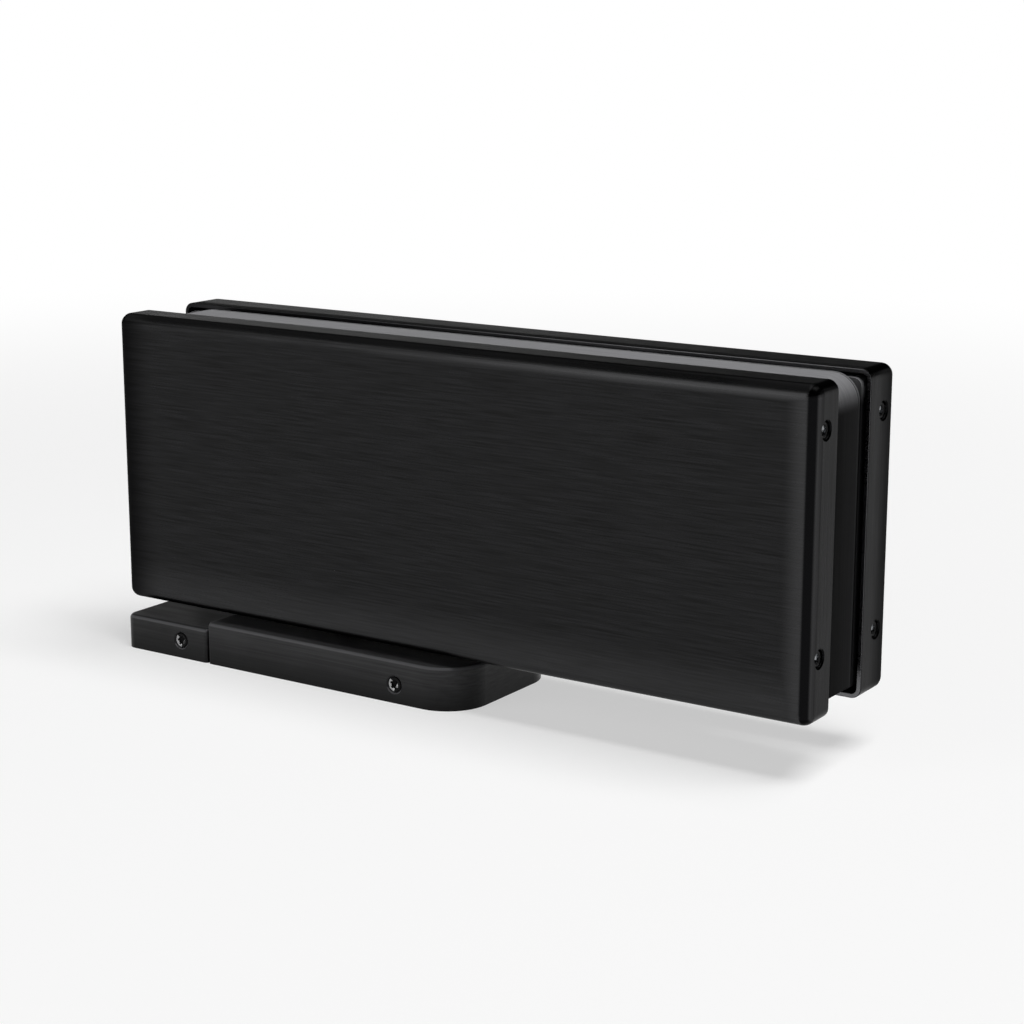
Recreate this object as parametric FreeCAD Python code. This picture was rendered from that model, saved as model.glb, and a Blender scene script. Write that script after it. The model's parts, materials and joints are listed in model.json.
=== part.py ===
import FreeCAD, Part
import math
import os

# Hydraulic patch hinge for a frameless glass door, in millimetres.
# The origin is on the floor under the spindle axis. +X points along the leaf to its free end,
# +Y from the front half to the rear half, +Z up.

V = FreeCAD.Vector
ORIGIN = V(0, 0, 0)
ALONG = V(1, 0, 0)
ACROSS = V(0, 1, 0)
UP = V(0, 0, 1)

# Fits and clearances
running_fit = 0.03        # radial, shaft in bush or piston in bore
close_fit = 0.02          # radial, threaded or located piece in its hole
screw_clearance = 0.1     # radial, screw in a cover's hole
cover_clearance = 0.15    # body rim inside a cover's wall
flush_recess = 0.2        # jaw edge behind the covers' outer faces
window_gap = 1.0          # rear half and pads round the cylinder and spindle housing
roller_gap = 0.4          # roller to the cam's largest radius
seal_gap = 0.1            # ring seal in its groove
least_round = 0.3         # smallest inside rounding of a sheet cover

# Leaf
leaf_length = 200.0
leaf_height = 75.5
pivot_offset = 55.0       # spindle axis to the leaf's pivot end
swing_gap = 2.0           # leaf over the taller floor hood
front_cover_depth = 9.9
rear_cover_depth = 13.1
cover_wall = 1.2
cover_face_round = 3.0    # rounding round a cover's face
cover_corner_round = 2.5  # edges of a cover between its walls
rim_break = 0.25          # broken edges of a cover's rim
spindle_relief = 1.5      # scallop in the covers' lower walls

# Jaws, pads and slot, in order from the front cover's rim to the rear cover's rim
jaw_thickness = 10.2
pad_thickness = 0.8
glass_slot = 4.4          # rear half fully closed
clamp_proud = 0.1         # rear jaw in front of the rear cover's rim
jaw_lift = 4.5            # jaw's lower edge above the leaf's bottom
jaw_corner_round = 6.4
jaw_pivot_inset = 8.5     # jaw's pivot end inside the covers' ends
rim_width = 9.0           # raised rim on the front of the body, inside the front cover
pocket_round = 6.0
clamp_inset = 2.0         # rear jaw inside the rear cover's outline
clamp_corner_round = 2.0
clamp_thickness = 5.1
lug_length = 9.0          # blocks that the rear cover's screws go into
lug_height = 9.0
lug_gap = 0.05
rib_thickness = 2.5       # ribs between the body's rim and its cylinder
rib_height = 4.0

# Grub screws of the covers
grub_radius = 2.0
grub_length = 7.0
cover_grub_recess = 0.6   # screw's end below the cover's surface
grub_socket = 2.0         # across flats
grub_socket_depth = 2.0
grub_tip = 0.6
grub_chamfer = 0.25
hole_chamfer = 0.3        # round the screw holes of covers and hoods
grub_low = 15.0           # above the leaf's bottom
grub_high = 10.1          # below the leaf's top
front_grub_set = 4.5      # behind the front cover's face
rear_grub_set = 6.3       # in front of the rear cover's face

# Clamp bolts
bolt_radius = 3.0
bolt_head_radius = 5.0
bolt_head_height = 4.2
bolt_socket = 4.0
bolt_socket_depth = 2.4
bolt_head_chamfer = 0.5
bolt_boss_radius = 6.0
bolt_boss_height = 3.0
bolt_rise = 7.0           # upper row above the cylinder's outside
bolt_drop = 23.0          # lower pair below the upper row
middle_bolt_set = 24.0    # middle bolt from the spindle housing

# Cylinder and spindle housing
bore_height = 27.5        # bore axis above the leaf's bottom
housing_gap = 4.0         # spindle housing to the covers' inner faces
housing_wall = 2.5
bore_step = 1.0           # cylinder bore smaller than the cam chamber
bore_wall = 3.0
free_band = 33.0          # leaf's free end to the end of the cylinder
plug_length = 12.0
cam_plug_length = 10.0
cam_plug_set = 2.0        # cam chamber to the cam-end plug
plug_socket = 8.0
plug_socket_depth = 5.0
plug_chamfer = 0.5        # outer ends of the plugs
chamber_headroom = 4.5    # over the cam

# Spindle, cam and bearings
spindle_radius = 6.2
spindle_square = 8.5
cam_seat_step = 1.2       # cam seat smaller than the lower journal
cam_flat_depth = 1.0
spindle_chamfer = 0.8
cam_gap = 1.5             # cam's largest radius to the chamber wall
cam_lift = 4.0
cam_height = 8.0
cam_points = 36
seal_height = 3.2
seal_recess = 0.4
seal_width = 2.4
bush_wall = 1.7
upper_bush_wall = 2.0
upper_bush_length = 7.8
upper_bush_set = 0.5
spindle_end_set = 0.2     # spindle's top above the upper bush
thrust_thickness = 1.0
top_plug_step = 1.8       # top plug's bore larger than the upper bush's
top_plug_length = 6.0
top_plug_socket = 6.0
top_plug_socket_depth = 3.5
top_wall = 2.4
spanner_radius = 1.2
spanner_depth = 3.0

# Piston
roller_radius = 4.0
roller_proud = 1.2        # roller in front of the fork
pin_radius = 2.0
pin_inset = 1.5           # pin's ends below the piston's skin
fork_side_gap = 0.2
fork_end_gap = 0.8
roller_chamfer = 0.4
piston_chamfer = 0.6
piston_length = 32.0
spigot_length = 6.0
spigot_gap = 0.4
piston_ring_width = 2.1
piston_ring_depth = 1.4
piston_ring_set = 4.0     # from the piston's spring end
check_ball_radius = 2.2
check_port_radius = 1.5
check_bore_gap = 0.4
check_seat_set = 10.0     # seat behind the fork's floor
retainer_set = 2.4        # behind the ball
retainer_length = 6.0
retainer_port_radius = 1.2

# Return spring
spring_wire_radius = 1.8
spring_gap = 0.3
spring_pitch = 6.0

# Ring seals of the plugs
ring_section_radius = 1.1

# Speed valves and oil ways
valve_radius = 3.0
valve_rise = 16.0         # above the bore axis
valve_proud = 1.5
valve_body_length = 6.0
needle_radius = 1.1
needle_tip_radius = 0.4
needle_length = 2.8
needle_gap = 0.2
valve_slot_width = 0.8
valve_slot_depth = 1.0
valve_groove_set = 3.2
valve_ring_radius = 0.6
valve_first_set = 12.0    # first valve past the piston's spring end
valve_pitch = 20.0
oilway_radius = 1.0
oilway_set = 8.0          # past the valves at each end
fill_radius = 3.5
fill_boss_radius = 6.0
fill_boss_proud = 1.0
fill_socket = 3.0
fill_socket_depth = 1.8
fill_set = 12.0           # before the end plug

# Floor unit
floor_length = 108.0
floor_width = 43.5
end_cover_length = 28.5
end_cover_height = 9.0
floor_cover_height = 11.0
hood_wall = 1.5
hood_joint = 0.4
hood_edge_round = 1.2
hood_joint_round = 0.8    # edges beside the joint between the hoods
end_corner_round = 3.0
floor_corner_round = 11.0
hood_headroom = 0.3
hood_side_gap = 0.2
seat_headroom = 0.3
floor_grub_set = 34.6     # each side of the spindle
floor_grub_length = 6.0
floor_grub_recess = 0.2
floor_grub_drop = 0.5     # screw's edge below the plate's top
seat_length = 44.0
seat_width = 28.0
seat_round = 3.0
seat_floor = 3.0
seat_side_gap = 0.1
seat_screw_set = 15.0
seat_screw_radius = 2.0
seat_screw_head = 4.0
seat_screw_end = 0.6
spindle_hole_gap = 0.6
fixing_spacing_x = 84.0
fixing_spacing_y = 26.0
fixing_radius = 2.75
fixing_head_radius = 5.2

# Leaf box
leaf_x0 = -pivot_offset
leaf_x1 = leaf_length - pivot_offset
leaf_z0 = floor_cover_height + swing_gap
leaf_z1 = leaf_z0 + leaf_height
cover_gap = jaw_thickness + 2 * pad_thickness + glass_slot + clamp_proud
leaf_depth = front_cover_depth + cover_gap + rear_cover_depth
leaf_y0 = -leaf_depth / 2
leaf_y1 = leaf_depth / 2

# Faces across the leaf
front_rim_y = leaf_y0 + front_cover_depth
rear_rim_y = leaf_y1 - rear_cover_depth
jaw_back = front_rim_y + jaw_thickness
clamp_front = rear_rim_y - clamp_proud
clamp_back = clamp_front + clamp_thickness
inner_face_round = max(cover_face_round - cover_wall, least_round)
body_front = leaf_y0 + cover_wall + inner_face_round
lug_back = leaf_y1 - cover_wall - lug_gap
front_grub_y = leaf_y0 + front_grub_set
rear_grub_y = leaf_y1 - rear_grub_set
grub_heights = (leaf_z0 + grub_low, leaf_z1 - grub_high)

# Cylinder, chamber and housing
bore_z = leaf_z0 + bore_height
body_z0 = leaf_z0 + jaw_lift
housing_radius = leaf_depth / 2 - cover_wall - housing_gap
chamber_radius = housing_radius - housing_wall
bore_radius = chamber_radius - bore_step
ridge_radius = bore_radius + bore_wall
cam_plug_x1 = -chamber_radius - cam_plug_set
ridge_x0 = cam_plug_x1 - cam_plug_length
ridge_x1 = leaf_x1 - free_band
plug_face = ridge_x1 - plug_length

# Heights along the spindle
plate_thickness = end_cover_height - hood_wall - hood_headroom
seat_top = floor_cover_height - hood_wall - seat_headroom
gland_top = bore_z - bore_radius
cam_z0 = bore_z - cam_height / 2
cam_z1 = bore_z + cam_height / 2
chamber_top = cam_z1 + chamber_headroom
upper_bush_z0 = chamber_top + upper_bush_set
upper_bush_z1 = upper_bush_z0 + upper_bush_length
spindle_top = upper_bush_z1 + spindle_end_set
thrust_z0 = spindle_top + running_fit
thrust_z1 = thrust_z0 + thrust_thickness
housing_top = thrust_z1 + top_plug_length
seal_z0 = body_z0 + seal_recess
seal_z1 = seal_z0 + seal_height
cam_seat_radius = spindle_radius - cam_seat_step
cam_flat = cam_seat_radius - cam_flat_depth
upper_bush_radius = cam_flat + running_fit + upper_bush_wall
top_plug_radius = upper_bush_radius + top_plug_step
cam_radius = chamber_radius - cam_gap

# Places along the bore
roller_x = cam_radius + roller_gap + roller_radius
fork_x = roller_x - roller_radius + roller_proud
fork_floor = roller_x + roller_radius + fork_end_gap
piston_end = fork_x + piston_length
piston_radius = bore_radius - running_fit
spring_radius = bore_radius - spring_gap - spring_wire_radius
spigot_radius = spring_radius - spring_wire_radius - spigot_gap
check_seat = fork_floor + check_seat_set
check_bore_radius = check_ball_radius + check_bore_gap
ball_rise = math.sqrt(check_ball_radius ** 2 - check_port_radius ** 2)
ball_x = check_seat + ball_rise + seal_gap
retainer_x = ball_x + check_ball_radius + retainer_set
valve_z = bore_z + valve_rise
valve_places = {
    "closing_valve": piston_end + valve_first_set,
    "latching_valve": piston_end + valve_first_set + valve_pitch,
}
fill_x = plug_face - fill_set

# Rear cover lugs and clamp bolts
lug_x0 = leaf_x0 + cover_wall + inner_face_round
lug_x1 = leaf_x1 - cover_wall - inner_face_round
bolt_z = bore_z + ridge_radius + bolt_rise
pivot_bolt_x = (lug_x0 + lug_length + ridge_x0) / 2
free_bolt_x = (lug_x1 - lug_length + ridge_x1) / 2
bolt_places = (
    (pivot_bolt_x, bolt_z),
    (pivot_bolt_x, bolt_z - bolt_drop),
    (housing_radius + middle_bolt_set, bolt_z),
    (free_bolt_x, bolt_z),
    (free_bolt_x, bolt_z - bolt_drop),
)
rib_places = (
    housing_radius + middle_bolt_set / 2,
    sum(valve_places.values()) / 2,
    (max(valve_places.values()) + ridge_x1) / 2,
)

# Floor unit
floor_x0 = -floor_length / 2
floor_x1 = floor_length / 2
hood_joint_x = floor_x0 + end_cover_length
plate_inset = hood_wall + hood_side_gap
floor_grub_z = plate_thickness - grub_radius - floor_grub_drop


# Shape helpers

def box(x0, x1, y0, y1, z0, z1):
    return Part.makeBox(x1 - x0, y1 - y0, z1 - z0, V(x0, y0, z0))


def rod(radius, start, end):
    return Part.makeCylinder(radius, (end - start).Length, start, end - start)


def placed(shape, base, axis):
    shape.Placement = FreeCAD.Placement(base, FreeCAD.Rotation(UP, axis))
    return shape


def turned(profile, base=ORIGIN, axis=UP):
    """Solid of revolution from (radius, distance along the axis) points."""
    points = [V(radius, 0, along) for radius, along in profile]
    face = Part.Face(Part.makePolygon(points + points[:1]))
    return placed(face.revolve(ORIGIN, UP, 360), base, axis)


def chamfered_rod(radius, length, base, axis):
    """Rod with a chamfer round its far end."""
    return turned([(0, 0), (radius, 0), (radius, length - plug_chamfer), (radius - plug_chamfer, length),
                   (0, length)], base, axis)


def ring(inner, outer, length, base, axis):
    return turned([(inner, 0), (outer, 0), (outer, length), (inner, length)], base, axis)


def hexagon(across_flats, depth, base, axis):
    corner = across_flats / math.sqrt(3)
    points = [V(corner * math.cos(a * math.pi / 3), corner * math.sin(a * math.pi / 3), 0) for a in range(7)]
    return placed(Part.Face(Part.makePolygon(points)).extrude(UP * depth), base, axis)


def runs_along(edge, axis):
    span = edge.Vertexes[-1].Point - edge.Vertexes[0].Point
    return span.Length > 0 and span.cross(axis).Length < span.Length / 1000


def rounded(shape, radius, chosen):
    return shape.makeFillet(radius, [edge for edge in shape.Edges if chosen(edge)])


def upright_plate(x0, x1, y0, y1, z0, z1, top_round):
    """Plate that stands along the leaf, with its two upper corners rounded."""
    def upper_corner(edge):
        return runs_along(edge, ACROSS) and edge.CenterOfMass.z > (z0 + z1) / 2
    return rounded(box(x0, x1, y0, y1, z0, z1), top_round, upper_corner)


def fused(shapes):
    return shapes[0].multiFuse(shapes[1:]).removeSplitter()


def grub_screw(length, end, inward):
    """Headless screw with a hexagon socket, its outer end at the given point."""
    body = turned([(0, 0), (grub_radius - grub_chamfer, 0), (grub_radius, grub_chamfer),
                   (grub_radius, length - grub_tip), (grub_radius - grub_tip, length), (0, length)], end, inward)
    return body.cut(hexagon(grub_socket, grub_socket_depth, end, inward))


def cover_screw_ends(y):
    """Outer end and inward direction of the four screws in a cover's two ends."""
    return [(V(x, y, z), inward)
            for x, inward in ((leaf_x0 + cover_grub_recess, ALONG), (leaf_x1 - cover_grub_recess, -ALONG))
            for z in grub_heights]


def floor_screw_ends():
    """Outer end and inward direction of the four screws in the floor hoods' sides."""
    side = floor_width / 2 - floor_grub_recess
    return [(V(x, y, floor_grub_z), inward)
            for x in (-floor_grub_set, floor_grub_set)
            for y, inward in ((-side, ACROSS), (side, -ACROSS))]


def screw_holes(ends, radius, length):
    """Straight holes for grub screws, from outside the cover to the given depth."""
    return [rod(radius, end - inward * grub_radius, end + inward * length) for end, inward in ends]


def hole_rims(ends, recess):
    """Chamfers of the screw holes, at the surface that the screws' ends lie below."""
    inner = grub_radius + screw_clearance
    cone = [(0, 0), (inner + hole_chamfer, 0), (inner, hole_chamfer), (0, hole_chamfer)]
    return [turned(cone, end - inward * recess, inward) for end, inward in ends]


# Floor unit pieces

def hood_block(x_open, x_closed, height, inset, corner_round):
    """Block of a floor hood, a given distance inside its outer surface and open at the joint."""
    out = 1 if x_closed > x_open else -1
    end = x_closed - out * inset
    half = floor_width / 2 - inset
    block = box(min(x_open, end), max(x_open, end), -half, half, 0, height - inset)
    def end_corner(edge):
        return runs_along(edge, UP) and abs(edge.CenterOfMass.x - end) < least_round
    block = rounded(block, max(corner_round - inset, least_round), end_corner)
    def top_edge(edge):
        on_top = edge.BoundBox.ZMin > height - inset - least_round
        return on_top and abs(edge.CenterOfMass.x - x_open) > least_round
    return rounded(block, max(hood_edge_round - inset, least_round), top_edge)


def hood(x_open, x_closed, height, corner_round):
    def joint_edge(edge):
        at_joint = abs(edge.BoundBox.XMin - x_open) + abs(edge.BoundBox.XMax - x_open) < least_round
        return at_joint and edge.BoundBox.ZMax > least_round
    shell = rounded(hood_block(x_open, x_closed, height, 0, corner_round), hood_joint_round, joint_edge)
    shell = shell.cut(hood_block(x_open, x_closed, height, hood_wall, corner_round))
    holes = screw_holes(floor_screw_ends(), grub_radius + screw_clearance, floor_grub_length)
    return shell.cut(holes + hole_rims(floor_screw_ends(), floor_grub_recess))


def floor_cover():
    shell = hood(hood_joint_x + hood_joint / 2, floor_x1, floor_cover_height, floor_corner_round)
    return shell.cut(rod(spindle_radius + spindle_hole_gap, V(0, 0, seat_top), V(0, 0, leaf_z0)))


def end_cover():
    return hood(hood_joint_x - hood_joint / 2, floor_x0, end_cover_height, end_corner_round)


def fixing_places():
    return [V(sx * fixing_spacing_x / 2, sy * fixing_spacing_y / 2, 0) for sx in (-1, 1) for sy in (-1, 1)]


def seat_screw_places():
    return [V(-seat_screw_set, 0, 0), V(seat_screw_set, 0, 0)]


def seat_block(gap, z0, z1):
    half_x = seat_length / 2 - gap
    half_y = seat_width / 2 - gap
    block = box(-half_x, half_x, -half_y, half_y, z0, z1)
    return rounded(block, seat_round - gap, lambda edge: runs_along(edge, UP))


def floor_plate():
    half = floor_width / 2 - plate_inset
    plate = box(floor_x0 + plate_inset, floor_x1 - plate_inset, -half, half, 0, plate_thickness)
    plate = rounded(plate, max(floor_corner_round - plate_inset, least_round),
                    lambda edge: runs_along(edge, UP) and edge.CenterOfMass.x > 0)
    plate = rounded(plate, max(end_corner_round - plate_inset, least_round),
                    lambda edge: runs_along(edge, UP) and edge.CenterOfMass.x < floor_x0 + 2 * plate_inset)
    sink = fixing_head_radius - fixing_radius
    countersunk = [(0, 0), (fixing_radius, 0), (fixing_radius, plate_thickness - sink),
                   (fixing_head_radius, plate_thickness), (0, plate_thickness)]
    holes = [turned(countersunk, place) for place in fixing_places()]
    holes += [rod(seat_screw_radius + close_fit, place, place + UP * plate_thickness)
              for place in seat_screw_places()]
    holes += screw_holes(floor_screw_ends(), grub_radius + close_fit, floor_grub_length)
    return plate.cut(holes + [seat_block(0, seat_floor, plate_thickness)])


def seat_screw_profile(grow, start):
    """Countersunk screw from its tip up, optionally grown to make its hole."""
    neck = seat_top - seat_screw_head + seat_screw_radius
    return [(0, start), (seat_screw_radius + grow, start), (seat_screw_radius + grow, neck),
            (seat_screw_head + grow, seat_top), (0, seat_top)]


def pivot_seat():
    block = seat_block(seat_side_gap, seat_floor, seat_top)
    half = spindle_square / 2 + close_fit
    holes = [turned(seat_screw_profile(close_fit, seat_floor), place) for place in seat_screw_places()]
    return block.cut(holes + [box(-half, half, -half, half, seat_floor, seat_top)])


def pivot_seat_screws():
    screws = []
    for place in seat_screw_places():
        screw = turned(seat_screw_profile(0, seat_screw_end), place)
        screws.append(screw.cut(hexagon(grub_socket, grub_socket_depth, place + UP * seat_top, -UP)))
    return Part.makeCompound(screws)


def floor_cover_screws():
    return Part.makeCompound([grub_screw(floor_grub_length, *end) for end in floor_screw_ends()])


def flatted_seat(gap):
    """Round cam seat with two flats, optionally grown to make the cam's hole."""
    seat = rod(cam_seat_radius + gap, V(0, 0, cam_z0), V(0, 0, cam_z1))
    flat = cam_flat + gap
    return seat.common(box(-flat, flat, -spindle_radius, spindle_radius, cam_z0, cam_z1))


def spindle():
    half = spindle_square / 2
    foot = box(-half, half, -half, half, seat_floor, seat_top)
    lower = rod(spindle_radius, V(0, 0, seat_top), V(0, 0, cam_z0))
    upper = turned([(0, cam_z1), (cam_flat, cam_z1), (cam_flat, spindle_top - spindle_chamfer),
                    (cam_flat - spindle_chamfer, spindle_top), (0, spindle_top)])
    return fused([foot, lower, flatted_seat(0), upper])


def cam():
    """Heart-shaped plate: lowest towards the piston, with a smooth rise each way."""
    points = []
    for step in range(cam_points):
        angle = 2 * math.pi * step / cam_points
        radius = cam_radius - cam_lift * ((1 + math.cos(angle)) / 2) ** 2
        points.append(V(radius * math.cos(angle), radius * math.sin(angle), cam_z0))
    outline = Part.BSplineCurve()
    outline.interpolate(Points=points, PeriodicFlag=True)
    plate = Part.Face(Part.Wire(outline.toShape())).extrude(UP * cam_height)
    return plate.cut(flatted_seat(close_fit))


# Covers

def cap_block(depth, inset):
    """Block of a cover, a given distance inside its outer surface, with its face at y = inset."""
    block = box(leaf_x0 + inset, leaf_x1 - inset, inset, depth, leaf_z0 + inset, leaf_z1 - inset)
    block = rounded(block, max(cover_face_round - inset, least_round),
                    lambda edge: edge.BoundBox.YMax < inset + least_round / 2)
    return rounded(block, max(cover_corner_round - inset, least_round),
                   lambda edge: runs_along(edge, ACROSS))


def cap(depth):
    shell = cap_block(depth, 0).cut(cap_block(depth, cover_wall))
    return rounded(shell, rim_break, lambda edge: edge.BoundBox.YMin > depth - rim_break)


def finished_cover(shell, grub_y):
    ends = cover_screw_ends(grub_y)
    holes = screw_holes(ends, grub_radius + screw_clearance, grub_length)
    holes += hole_rims(ends, cover_grub_recess)
    relief = rod(spindle_radius + spindle_relief, V(0, 0, leaf_z0), V(0, 0, body_z0))
    return shell.cut(holes + [relief])


def front_cover():
    shell = cap(front_cover_depth)
    shell.translate(V(0, leaf_y0, 0))
    return finished_cover(shell, front_grub_y)


def rear_cover():
    shell = cap(rear_cover_depth).mirror(ORIGIN, ACROSS)
    shell.translate(V(0, leaf_y1, 0))
    return finished_cover(shell, rear_grub_y)


def front_cover_screws():
    return Part.makeCompound([grub_screw(grub_length, *end) for end in cover_screw_ends(front_grub_y)])


def rear_cover_screws():
    return Part.makeCompound([grub_screw(grub_length, *end) for end in cover_screw_ends(rear_grub_y)])


# Front half: body, pad and what closes its bores

def jaw_plate(y0, y1):
    return upright_plate(leaf_x0 + jaw_pivot_inset, leaf_x1 - flush_recess, y0, y1,
                         body_z0, leaf_z1 - flush_recess, jaw_corner_round)


def body_rim():
    """Raised rim that carries the front cover, round the pocket in the body's front."""
    inset = cover_wall + cover_clearance
    x0 = leaf_x0 + inset
    x1 = leaf_x1 - inset
    z1 = leaf_z1 - inset
    rim = upright_plate(x0, x1, body_front, front_rim_y, body_z0, z1, jaw_corner_round - inset)
    pocket = box(x0 + rim_width, x1 - rim_width, body_front, front_rim_y, body_z0 + rim_width, z1 - rim_width)
    return rim.cut(rounded(pocket, pocket_round, lambda edge: runs_along(edge, ACROSS)))


def valve_bores():
    """Needle valve bores from the front, joined by an oil way with a drop into the cylinder at each end."""
    bores = []
    seat_y = front_rim_y - valve_proud + valve_body_length
    tip_y = seat_y + needle_length + needle_gap
    for x in valve_places.values():
        bores.append(rod(valve_radius + running_fit, V(x, front_rim_y, valve_z), V(x, seat_y, valve_z)))
        bores.append(rod(needle_radius + needle_gap, V(x, seat_y, valve_z), V(x, tip_y, valve_z)))
    way_y = seat_y + needle_length / 2
    way_x0 = min(valve_places.values()) - oilway_set
    way_x1 = max(valve_places.values()) + oilway_set
    bores.append(rod(oilway_radius, V(way_x0, way_y, valve_z), V(way_x1, way_y, valve_z)))
    bores += [rod(oilway_radius, V(x, way_y, bore_z), V(x, way_y, valve_z)) for x in (way_x0, way_x1)]
    return bores


def hydraulic_body():
    ridge = rod(ridge_radius, V(ridge_x0, 0, bore_z), V(ridge_x1, 0, bore_z))
    housing = turned([(0, body_z0), (housing_radius, body_z0), (housing_radius, chamber_top),
                      (top_plug_radius + top_wall, chamber_top + housing_wall),
                      (top_plug_radius + top_wall, housing_top), (0, housing_top)])
    bosses = [rod(bolt_boss_radius, V(x, front_rim_y - bolt_boss_height, z), V(x, jaw_back, z))
              for x, z in bolt_places]
    ribs = [box(x - rib_thickness / 2, x + rib_thickness / 2, front_rim_y - rib_height, front_rim_y,
                bore_z, leaf_z1 - rim_width) for x in rib_places]
    fill_front = -ridge_radius - fill_boss_proud
    bosses.append(rod(fill_boss_radius, V(fill_x, fill_front, bore_z), V(fill_x, -bore_radius / 2, bore_z)))
    body = fused([jaw_plate(front_rim_y, jaw_back), body_rim(), ridge, housing] + bosses + ribs)
    cuts = [
        rod(bore_radius, V(ridge_x0, 0, bore_z), V(ridge_x1, 0, bore_z)),
        rod(chamber_radius, V(0, 0, body_z0), V(0, 0, chamber_top)),
        rod(upper_bush_radius, V(0, 0, chamber_top), V(0, 0, thrust_z1)),
        rod(top_plug_radius, V(0, 0, thrust_z1), V(0, 0, housing_top)),
        rod(fill_radius, V(fill_x, fill_front, bore_z), V(fill_x, -bore_radius / 2, bore_z)),
    ]
    cuts += [rod(bolt_radius + running_fit, V(x, front_rim_y - bolt_boss_height, z), V(x, jaw_back, z))
             for x, z in bolt_places]
    cuts += screw_holes(cover_screw_ends(front_grub_y), grub_radius + close_fit, grub_length)
    return body.cut(cuts + valve_bores())


def window(y0, y1):
    """Space that the cylinder and spindle housing pass through, open at the bottom."""
    side = housing_radius + window_gap
    half = ridge_radius + window_gap
    across = box(ridge_x0 - window_gap, ridge_x1 + window_gap, y0, y1, bore_z - half, bore_z + half)
    upright = box(-side, side, y0, y1, leaf_z0, housing_top + window_gap)
    return fused([across, upright])


def bolt_holes(y0, y1):
    return [rod(bolt_radius + screw_clearance, V(x, y0, z), V(x, y1, z)) for x, z in bolt_places]


def front_pad():
    y0 = jaw_back
    y1 = jaw_back + pad_thickness
    return jaw_plate(y0, y1).cut([window(y0, y1)] + bolt_holes(y0, y1))


def bottom_gland():
    bush_outer = spindle_radius + running_fit + bush_wall
    seal_outer = spindle_radius + seal_width
    outer = chamber_radius - close_fit
    gland = turned([(seal_outer, body_z0), (outer, body_z0), (outer, gland_top), (bush_outer, gland_top),
                    (bush_outer, seal_z1), (seal_outer, seal_z1)])
    spanner_ring = (outer + seal_outer) / 2
    return gland.cut([rod(spanner_radius, V(side * spanner_ring, 0, body_z0),
                          V(side * spanner_ring, 0, body_z0 + spanner_depth)) for side in (-1, 1)])


def spindle_seal():
    return ring(spindle_radius + running_fit, spindle_radius + seal_width - close_fit,
                seal_height, V(0, 0, seal_z0), UP)


def lower_bush():
    inner = spindle_radius + running_fit
    return ring(inner, inner + bush_wall - close_fit, gland_top - seal_z1, V(0, 0, seal_z1), UP)


def upper_bush():
    return ring(cam_flat + running_fit, upper_bush_radius - close_fit, upper_bush_length,
                V(0, 0, upper_bush_z0), UP)


def thrust_disc():
    return rod(upper_bush_radius - close_fit, V(0, 0, thrust_z0), V(0, 0, thrust_z1))


def top_plug():
    plug = chamfered_rod(top_plug_radius - close_fit, top_plug_length, V(0, 0, thrust_z1), UP)
    return plug.cut(hexagon(top_plug_socket, top_plug_socket_depth, V(0, 0, housing_top), -UP))


def bore_plug(face_x, length, outward, with_spigot):
    """Threaded plug of the cylinder with a seal groove, a socket and, at the spring end, a spigot."""
    outer = bore_radius - close_fit
    floor = bore_radius - 2 * ring_section_radius - 2 * seal_gap
    groove = length / 2 - ring_section_radius - seal_gap
    profile = [(0, 0), (outer, 0), (outer, groove), (floor, groove), (floor, length - groove),
               (outer, length - groove), (outer, length - plug_chamfer), (outer - plug_chamfer, length),
               (0, length)]
    if with_spigot:
        profile = [(0, -spigot_length), (spigot_radius, -spigot_length), (spigot_radius, 0)] + profile[1:]
    base = V(face_x, 0, bore_z)
    plug = turned(profile, base, outward)
    return plug.cut(hexagon(plug_socket, plug_socket_depth, base + outward * length, -outward))


def bore_ring(x):
    section = V(x, 0, bore_z)
    return Part.makeTorus(bore_radius - ring_section_radius - seal_gap, ring_section_radius, section, ALONG)


def fill_plug():
    end = V(fill_x, -ridge_radius - fill_boss_proud, bore_z)
    start = V(fill_x, -bore_radius, bore_z)
    plug = chamfered_rod(fill_radius - close_fit, (end - start).Length, start, -ACROSS)
    return plug.cut(hexagon(fill_socket, fill_socket_depth, end, ACROSS))


def return_spring():
    """Coil between the piston and the end plug, with its ends ground flat."""
    length = plug_face - piston_end
    turns_over = spring_pitch / 2
    coil = Part.makeHelix(spring_pitch, length + 2 * turns_over, spring_radius)
    section = Part.Wire(Part.makeCircle(spring_wire_radius, V(spring_radius, 0, 0), ACROSS))
    wire = Part.Wire(coil.Edges).makePipeShell([section], True, True)
    wire = placed(wire, V(piston_end - turns_over, 0, bore_z), ALONG)
    return wire.common(rod(bore_radius, V(piston_end, 0, bore_z), V(plug_face, 0, bore_z)))


# Piston pieces

def piston():
    outer = piston_radius
    floor = outer - piston_ring_depth
    ring_x1 = piston_length - piston_ring_set
    ring_x0 = ring_x1 - piston_ring_width
    body = turned([(0, 0), (outer - piston_chamfer, 0), (outer, piston_chamfer), (outer, ring_x0),
                   (floor, ring_x0), (floor, ring_x1), (outer, ring_x1), (outer, piston_length - piston_chamfer),
                   (outer - piston_chamfer, piston_length), (spigot_radius, piston_length),
                   (spigot_radius, piston_length + spigot_length), (0, piston_length + spigot_length)],
                  V(fork_x, 0, bore_z), ALONG)
    gap = cam_height / 2 + fork_side_gap
    end = V(piston_end + spigot_length, 0, bore_z)
    return body.cut([
        box(fork_x, fork_floor, -outer, outer, bore_z - gap, bore_z + gap),
        rod(pin_radius, V(roller_x, 0, bore_z - outer), V(roller_x, 0, bore_z + outer)),
        rod(check_port_radius, V(fork_floor, 0, bore_z), V(check_seat, 0, bore_z)),
        rod(check_bore_radius, V(check_seat, 0, bore_z), end),
    ])


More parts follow.
